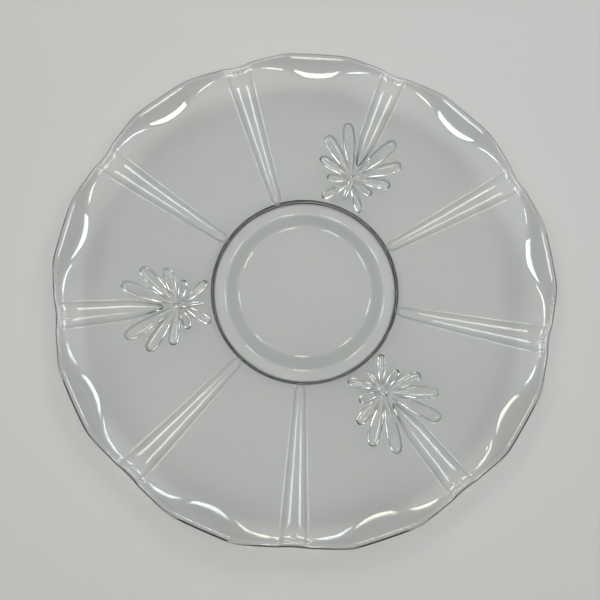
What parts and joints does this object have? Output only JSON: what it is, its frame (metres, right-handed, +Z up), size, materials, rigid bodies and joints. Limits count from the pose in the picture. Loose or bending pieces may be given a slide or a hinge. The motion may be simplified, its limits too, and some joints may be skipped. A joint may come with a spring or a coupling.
{
  "type": "torte plate",
  "caption": "Low round torte plate of clear pressed glass, with scooped panels between ribs, leaf sprays underneath, a scalloped rim and a foot ring.",
  "frame": {"origin": "on the table, under the centre of the plate", "axes": "+Z up out of the dish; -Y runs along one rib, +Y through the middle of the panel opposite it"},
  "size_m": [0.3556, 0.3522, 0.028],
  "materials": {
    "clear_glass": "clear colourless pressed glass, fire-polished on top, lightly worn on the foot ring"
  },
  "bodies": {
    "root": {"plate": "clear_glass"}
  },
  "joints": []
}
